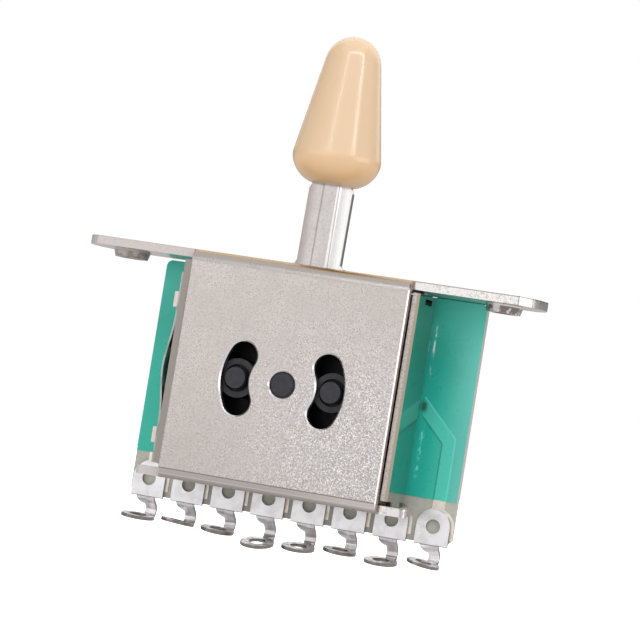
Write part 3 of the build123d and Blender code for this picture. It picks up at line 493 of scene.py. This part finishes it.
def lug_finish():
    # Tinned brass sheet: pale and softly reflecting, with painted shade on its sheared edges, round its
    # eyes and along the foot of its plate
    finish = Finish("lug_metal", srgb(252, 250, 252), 0.2, 1.0)
    finish.tint(finish.patches(1.2 * MM, 0.4, 0.7, 4.0), srgb(236, 232, 234))
    eyes = finish.before("Z", LUG_EYE_TOP_Z, 0.1 * MM)
    # Painted shade: dark outlines on the eyes' sideways faces
    finish.tint(finish.times(eyes, finish.upright()), srgb(158, 150, 146))
    blots = finish.patches(0.6 * MM, 0.47, 0.55, 4.0, most=0.8)
    finish.tint(finish.times(eyes, blots), srgb(146, 139, 136))
    plate = finish.beyond("Z", LUG_FOOT_Z - 0.1 * MM, 0.1 * MM)
    # Painted shade: the plate's edges facing up and down, and every face turned along X, are darker
    finish.tint(finish.times(plate, finish.remap(finish.facing("Z"), 0.8, 0.9)), srgb(128, 118, 112))
    finish.tint(finish.remap(finish.facing("X"), 0.7, 0.85), srgb(160, 152, 148))
    # Painted shade: a dark line along the foot of the plate
    foot = finish.between("Z", LUG_FOOT_Z - 0.02 * MM, LUG_FOOT_Z + 0.07 * MM, 0.08 * MM)
    finish.tint(foot, srgb(150, 142, 138))
    finish.roughen(finish.noise(1.5 * MM, 3.0), 0.27, 0.34)
    finish.bump(finish.noise(0.5 * MM, 3.0), 0.004 * MM)
    return finish


def spring_finish():
    # Greenish grey spring strip, drawn lengthwise
    finish = Finish("spring_steel", srgb(176, 184, 178), 0.28, 1.0)
    finish.tint(finish.patches(1.0 * MM, 0.45, 0.7, 4.0), srgb(150, 158, 152))
    finish.bump(finish.noise(0.3 * MM, 3.0, (1, 1, 4)), 0.004 * MM)
    return finish


def rotor_finish():
    # Black moulded acetal with a fine spark texture, with painted shade making it near black in the ring
    # recesses
    finish = Finish("rotor_plastic", srgb(42, 41, 46), 0.42)
    finish.tint(finish.patches(0.5 * MM, 0.4, 0.7), srgb(50, 48, 54))
    # Painted shade: the recessed faces behind the bosses are tinted near black
    recess_shade = finish.beyond("Y", BOSS_FRONT_Y + RECESS_DEPTH / 2, RECESS_DEPTH)
    finish.tint(recess_shade, srgb(8, 7, 10))
    finish.set("Specular IOR Level", 0.3)
    finish.bump(finish.noise(0.09 * MM, 2.0), 0.008 * MM)
    finish.roughen(finish.noise(0.8 * MM, 3.0), 0.36, 0.52)
    return finish


def lever_finish():
    # Bright strip with painted light and shade: a pinker painted reflection on the left flank, painted
    # shade towards its left edge, a fine dark line of painted shade at the rib's right foot, and painted
    # light on the right flank and the side edges
    finish = Finish("lever_steel", srgb(212, 207, 205), 0.2, 1.0)
    streaks = finish.patches(0.7 * MM, 0.4, 0.75, 3.0, (1, 1, 5), 0.35)
    finish.tint(streaks, srgb(190, 183, 181))
    # Painted reflection: a pinker tint on the left flank
    finish.tint(finish.between("X", FLANK_LEFT_X, RIB_LEFT_X - 0.1 * MM, 0.3 * MM), srgb(212, 204, 201))
    # Painted shade: darker towards the left edge
    finish.tint(finish.before("X", FLANK_LEFT_X - 0.2 * MM, 1.2 * MM), srgb(172, 162, 157))
    # Painted light: brighter right of the rib
    finish.tint(finish.beyond("X", RIB_RIGHT_X, 0.1 * MM), srgb(226, 224, 223))
    # Painted shade: a fine dark line at the rib's right foot
    finish.tint(finish.between("X", RIB_RIGHT_X, RIB_RIGHT_X + 0.09 * MM, 0.06 * MM), srgb(160, 155, 155))
    # Painted highlight: the right flank nearly white
    finish.tint(finish.beyond("X", RIB_RIGHT_X + 0.7 * MM, 0.9 * MM), srgb(254, 253, 252))
    # Painted light: the side edges tinted near white
    side = finish.outside("X", BLADE_HALF_WIDTH - 0.02 * MM, 0.01 * MM)
    finish.tint(side, srgb(250, 248, 246))
    back = finish.beyond("Y", BLADE_BACK_Y - 0.4 * MM, 0.1 * MM)
    finish.tint(finish.times(side, back), srgb(196, 182, 168))
    worn = finish.remap(finish.noise(0.2 * MM, 6.0), 0.35, 0.6, 0.4, 0.0)
    finish.tint(finish.times(worn, finish.before("X", RIB_RIGHT_X, 0.1 * MM)), srgb(184, 178, 176))
    finish.roughen(finish.noise(2.0 * MM, 3.0), 0.17, 0.23)
    finish.bump(finish.noise(0.15 * MM, 3.0, (1, 1, 3)), 0.0012 * MM)
    return finish


def rivet_finish():
    finish = Finish("rivet_steel", srgb(172, 168, 164), 0.34, 1.0)
    finish.tint(finish.patches(0.4 * MM, 0.45, 0.7), srgb(150, 146, 142))
    finish.bump(finish.noise(0.2 * MM, 3.0), 0.008 * MM)
    return finish


def knob_finish():
    # Cream moulded plastic, slightly translucent, with a smooth polished skin, painted brighter and more
    # orange below the rim as painted light
    finish = Finish("knob_plastic", srgb(196, 169, 139), 0.18)
    finish.tint(finish.patches(5 * MM, 0.4, 0.7, 2.0, most=0.5), srgb(194, 166, 134))
    # Painted light: below the rim the cream is tinted brighter and more orange
    finish.tint(finish.before("Z", KNOB_RIM_Z, 3.0 * MM), srgb(206, 170, 127))
    finish.roughen(finish.noise(1.5 * MM, 3.0), 0.2, 0.25)
    finish.set("Specular IOR Level", 1.0)
    finish.bump(finish.noise(2.5 * MM, 2.0), 0.004 * MM)
    finish.set("Subsurface Weight", 0.25)
    finish.set("Subsurface Radius", (1.0, 0.6, 0.35))
    finish.set("Subsurface Scale", 0.9 * MM)
    return finish


def bronze_finish():
    # Phosphor bronze strip of the sliding contacts
    finish = Finish("contact_bronze", srgb(205, 165, 110), 0.24, 1.0)
    finish.tint(finish.patches(0.8 * MM, 0.45, 0.7), srgb(186, 142, 88))
    finish.bump(finish.noise(0.2 * MM, 3.0, (1, 1, 3)), 0.004 * MM)
    return finish


def apply_finishes():
    # Give each node the finish that its material slot in the record names
    makers = {
        "plated_steel": plated_finish,
        "bracket_steel": bracket_finish,
        "board_laminate": laminate_finish,
        "green_mask": mask_finish,
        "tinned_copper": tinned_finish,
        "lug_metal": lug_finish,
        "spring_steel": spring_finish,
        "rotor_plastic": rotor_finish,
        "lever_steel": lever_finish,
        "rivet_steel": rivet_finish,
        "knob_plastic": knob_finish,
        "contact_bronze": bronze_finish,
    }
    made = {slot: maker().material for slot, maker in makers.items()}
    for subpart in frame["record"]["subparts"]:
        node = frame["nodes"][subpart["node"]]
        for slot in node.material_slots:
            slot.material = made[subpart["material_slot"]]
    return made


def join_rings(mesh, rings, closed):
    # Faces between each ring of corners and the next
    count = len(rings[0])
    for first, second in zip(rings, rings[1:]):
        for a in range(count if closed else count - 1):
            b = (a + 1) % count
            mesh.faces.new((first[a], first[b], second[b], second[a]))


def place_object(name, data):
    thing = bpy.data.objects.new(name, data)
    bpy.context.scene.collection.objects.link(thing)
    return thing


def finish_mesh(name, mesh, finish):
    bmesh.ops.recalc_face_normals(mesh, faces=mesh.faces)
    data = bpy.data.meshes.new(name)
    mesh.to_mesh(data)
    mesh.free()
    data.materials.append(finish)
    return place_object(name, data)


def make_thread(name, x, finish):
    # A helical ridge on the wall of a screw hole: crest inwards, root on the bore
    turns = (THREAD_TOP - THREAD_FOOT) / THREAD_PITCH
    count = int(turns * THREAD_STEPS)
    root = THREAD_PITCH * THREAD_ROOT_SHARE
    crest = root * THREAD_CREST_SHARE
    section = ((0.0, root), (-THREAD_DEPTH, crest), (-THREAD_DEPTH, -crest), (0.0, -root))
    mesh = bmesh.new()
    rings = []
    for step in range(count + 1):
        share = step / count
        angle = math.tau * turns * share
        # The ridge fades in and out at both ends, as a tapped thread does
        fade = min(1.0, share * turns / THREAD_FADE_TURNS, (1 - share) * turns / THREAD_FADE_TURNS)
        middle = THREAD_FOOT + root + (THREAD_TOP - THREAD_FOOT - 2 * root) * share
        ring = []
        for out, up in section:
            radius = THREAD_MINOR + out * fade + THREAD_SINK
            place = (x + radius * math.cos(angle), radius * math.sin(angle), middle + up)
            ring.append(mesh.verts.new(place))
        rings.append(ring)
    join_rings(mesh, rings, closed=False)
    thread = finish_mesh(name, mesh, finish)
    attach(thread, "housing")


def make_bead(name, finish):
    # A green strip along the board's upper edge, up against the frame, put in as painted shade to darken
    # the gap there
    mesh = bmesh.new()
    rings = []
    for step in range(BEAD_STEPS + 1):
        share = step / BEAD_STEPS
        # The strip is uneven in depth, and thins out at both ends
        taper = min(1.0, BEAD_END_SHARE + BEAD_TAPER * share, BEAD_END_SHARE + BEAD_TAPER * (1 - share))
        ripple = math.prod(math.sin(rate * share) for rate in BEAD_RIPPLE_RATES)
        swell = taper * (1 - BEAD_RIPPLE + BEAD_RIPPLE * ripple)
        x = BEAD_START + (BEAD_END - BEAD_START) * share
        places = [(x, BEAD_Y + y * swell * MM, BEAD_Z + z * BEAD_HALF) for y, z in BEAD_UPPER + BEAD_LOWER]
        rings.append([mesh.verts.new(place) for place in places])
    join_rings(mesh, rings, closed=True)
    mesh.faces.new(rings[0])
    mesh.faces.new(rings[-1])
    bead = finish_mesh(name, mesh, finish)
    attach(bead, "housing")


def direction(azimuth, elevation):
    # Azimuth 0 is straight in front of the face and 90 is towards +X
    turn = math.radians(azimuth)
    rise = math.radians(elevation)
    return Vector((math.sin(turn) * math.cos(rise), -math.cos(turn) * math.cos(rise), math.sin(rise)))


def softbox(name, azimuth, elevation, distance, width, height, level):
    # A lamp that looks level times as bright as white where a polished surface mirrors it
    light = bpy.data.lights.new(name, "AREA")
    light.shape = "RECTANGLE"
    light.size = width
    light.size_y = height
    light.energy = level * math.pi * width * height
    lamp = place_object(name, light)
    towards = direction(azimuth, elevation)
    lamp.location = towards * distance
    lamp.rotation_mode = "QUATERNION"
    lamp.rotation_quaternion = (-towards).to_track_quat("-Z", "Y")


def make_world():
    # White behind the object, and calmer surroundings for what it mirrors and is lit by
    world = bpy.data.worlds.new("surroundings")
    bpy.context.scene.world = world
    world.use_nodes = True
    tree = world.node_tree
    background = tree.nodes["Background"]
    background.inputs["Color"].default_value = (1, 1, 1, 1)
    path = tree.nodes.new("ShaderNodeLightPath")
    reflected = tree.nodes.new("ShaderNodeMix")
    tree.links.new(path.outputs["Is Glossy Ray"], reflected.inputs["Factor"])
    reflected.inputs[MIX_VALUE_A].default_value = AMBIENT_LEVEL
    reflected.inputs[MIX_VALUE_B].default_value = REFLECTED_LEVEL
    seen = tree.nodes.new("ShaderNodeMix")
    tree.links.new(path.outputs["Is Camera Ray"], seen.inputs["Factor"])
    tree.links.new(reflected.outputs[0], seen.inputs[MIX_VALUE_A])
    seen.inputs[MIX_VALUE_B].default_value = 1.0
    tree.links.new(seen.outputs[0], background.inputs["Strength"])


def make_floor():
    # White where the camera sees it, and a calmer grey where the metal mirrors it
    finish = Finish("floor_white", (FLOOR_SHADE, FLOOR_SHADE, FLOOR_SHADE), 0.9)
    finish.set("Emission Color", (1, 1, 1, 1))
    finish.set("Emission Strength", FLOOR_GLOW)
    grey = finish.node("ShaderNodeEmission")
    path = finish.node("ShaderNodeLightPath")
    level = finish.remap(path.outputs["Is Glossy Ray"], 0, 1, AMBIENT_LEVEL, FLOOR_LEVEL)
    finish.link(level, grey.inputs["Strength"])
    mix = finish.node("ShaderNodeMixShader")
    finish.link(path.outputs["Is Camera Ray"], mix.inputs[0])
    finish.link(grey.outputs[0], mix.inputs[1])
    finish.link(finish.shader.outputs[0], mix.inputs[2])
    finish.link(mix.outputs[0], finish.tree.nodes["Material Output"].inputs["Surface"])
    data = bpy.data.meshes.new("floor")
    corners = [(-1, -1), (1, -1), (1, 1), (-1, 1)]
    data.from_pydata([(x * FLOOR_HALF, y * FLOOR_HALF, FLOOR_Z) for x, y in corners], [], [(0, 1, 2, 3)])
    data.materials.append(finish.material)
    floor = place_object("floor", data)


def make_camera():
    yaw = Matrix.Rotation(math.radians(CAMERA_YAW), 3, "Z")
    pitch = Matrix.Rotation(math.radians(CAMERA_PITCH), 3, "X")
    roll = Matrix.Rotation(math.radians(CAMERA_ROLL), 3, "Z")
    # Rows of the basis are picture right, picture down and into the picture
    basis = Matrix(((1, 0, 0), (0, 0, -1), (0, 1, 0)))
    rows = roll @ pitch @ basis @ yaw
    turn = Matrix((rows[0], -rows[1], -rows[2])).transposed()
    data = bpy.data.cameras.new("camera")
    data.lens = LENS
    data.sensor_width = SENSOR
    data.clip_start = CAMERA_NEAR
    data.clip_end = CAMERA_FAR
    camera = place_object("camera", data)
    camera.matrix_world = Matrix.Translation(CAMERA_PLACE) @ turn.to_4x4()
    bpy.context.scene.camera = camera


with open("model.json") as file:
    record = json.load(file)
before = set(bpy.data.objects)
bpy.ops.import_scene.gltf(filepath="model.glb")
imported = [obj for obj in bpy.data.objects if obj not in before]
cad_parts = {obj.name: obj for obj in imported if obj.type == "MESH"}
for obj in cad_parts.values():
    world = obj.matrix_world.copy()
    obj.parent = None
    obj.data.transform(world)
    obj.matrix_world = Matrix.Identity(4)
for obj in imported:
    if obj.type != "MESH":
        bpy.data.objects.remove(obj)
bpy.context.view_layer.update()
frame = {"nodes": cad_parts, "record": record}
finishes = apply_finishes()
for side, name in ((-1, "thread_left"), (1, "thread_right")):
    make_thread(name, side * HOLE_X, finishes["plated_steel"])
make_bead("gap_shade_strip", finishes["green_mask"])
for name, layout in LAMPS.items():
    softbox(name, *layout)
make_world()
make_floor()
make_camera()
bpy.context.scene.view_settings.view_transform = "Standard"
